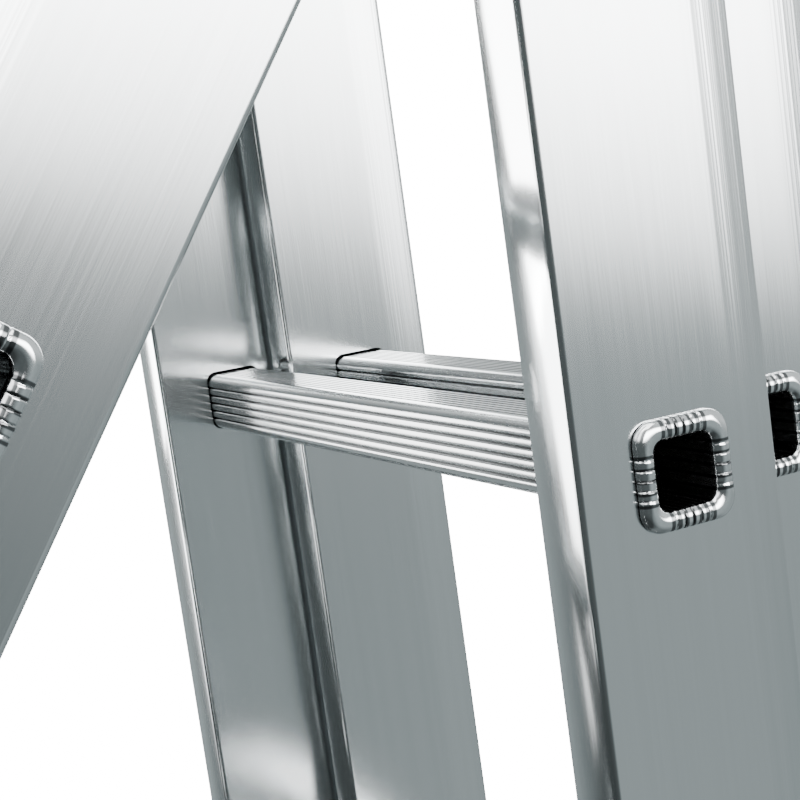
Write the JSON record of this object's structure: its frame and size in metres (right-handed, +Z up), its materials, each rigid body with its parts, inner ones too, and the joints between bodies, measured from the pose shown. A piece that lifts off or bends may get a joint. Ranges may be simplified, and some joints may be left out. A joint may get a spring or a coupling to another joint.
{
  "type": "combination ladder",
  "caption": "Aluminium combination ladder standing as an A-frame, with a sliding top section nested in its middle section, a stabiliser bar and square ribbed rungs.",
  "frame": {"origin": "on the floor, below the middle of the ladder's box as it stands open", "axes": "+X along the rungs, +Y from the base section towards the middle section, +Z up"},
  "size_m": [0.96, 1.3672, 1.8849],
  "materials": {
    "brushed_aluminium": "long-grain brushed",
    "rung_aluminium": "bright extruded, ribbed",
    "galvanised_steel": "galvanised",
    "zinc_plated_steel": "bright zinc",
    "black_plastic": "fine moulded grain",
    "black_rubber": "ribbed matte",
    "webbing": "woven polyester webbing"
  },
  "bodies": {
    "base_section": {"base_stile_right": "brushed_aluminium", "base_stile_left": "brushed_aluminium", "base_rung_1": "rung_aluminium", "base_rung_2": "rung_aluminium", "base_rung_3": "rung_aluminium", "base_rung_4": "rung_aluminium", "base_rung_5": "rung_aluminium", "base_rung_6": "rung_aluminium", "base_rung_7": "rung_aluminium", "base_top_cap_right": "black_plastic", "base_top_cap_left": "black_plastic", "base_end_plug_right": "black_plastic", "base_end_plug_left": "black_plastic", "base_hinge_plate_right": "galvanised_steel", "base_hinge_plate_left": "galvanised_steel", "stabiliser_bar": "brushed_aluminium", "stabiliser_foot_right": "black_rubber", "stabiliser_foot_left": "black_rubber", "bar_bolt_right": "zinc_plated_steel", "bar_bolt_left": "zinc_plated_steel", "hinge_stud_right": "zinc_plated_steel", "hinge_stud_left": "zinc_plated_steel", "spreader_strap_right": "webbing", "spreader_strap_left": "webbing"},
    "middle_section": {"middle_stile_right": "brushed_aluminium", "middle_stile_left": "brushed_aluminium", "middle_rung_1": "rung_aluminium", "middle_rung_2": "rung_aluminium", "middle_rung_3": "rung_aluminium", "middle_rung_4": "rung_aluminium", "middle_rung_5": "rung_aluminium", "middle_rung_6": "rung_aluminium", "middle_rung_7": "rung_aluminium", "middle_top_cap_right": "black_plastic", "middle_top_cap_left": "black_plastic", "middle_foot_right": "black_rubber", "middle_foot_left": "black_rubber", "middle_hinge_plate_right": "galvanised_steel", "middle_hinge_plate_left": "galvanised_steel", "upper_guide_right": "galvanised_steel", "upper_guide_left": "galvanised_steel"},
    "top_section": {"top_stile_right": "brushed_aluminium", "top_stile_left": "brushed_aluminium", "top_rung_1": "rung_aluminium", "top_rung_2": "rung_aluminium", "top_rung_3": "rung_aluminium", "top_rung_4": "rung_aluminium", "top_rung_5": "rung_aluminium", "top_rung_6": "rung_aluminium", "top_rung_7": "rung_aluminium", "top_section_cap_right": "black_plastic", "top_section_cap_left": "black_plastic", "top_end_plug_right": "black_plastic", "top_end_plug_left": "black_plastic", "lower_guide_right": "galvanised_steel", "lower_guide_left": "galvanised_steel", "hook_pin_right": "zinc_plated_steel", "hook_pin_left": "zinc_plated_steel"},
    "right_hook": {"rung_hook_right": "galvanised_steel"},
    "left_hook": {"rung_hook_left": "galvanised_steel"}
  },
  "joints": [
    {"name": "fold", "type": "hinge", "parent": "base_section", "child": "middle_section", "pos_m": [0, -0.00447, 1.79541], "axis": [-1, 0, 0], "range_deg": [0, 35], "deforming": ["spreader_strap_right", "spreader_strap_left"]},
    {"name": "extend", "type": "slide", "parent": "middle_section", "child": "top_section", "axis": [0, -0.3007, 0.9537], "range_m": [0, 1.12]},
    {"name": "right_hook_swing", "type": "hinge", "parent": "top_section", "child": "right_hook", "pos_m": [0.146, 0.55222, 0.22933], "axis": [1, 0, 0], "range_deg": [0, 221]},
    {"name": "left_hook_swing", "type": "hinge", "parent": "top_section", "child": "left_hook", "pos_m": [-0.146, 0.55222, 0.22933], "axis": [1, 0, 0], "range_deg": [0, 221]}
  ]
}
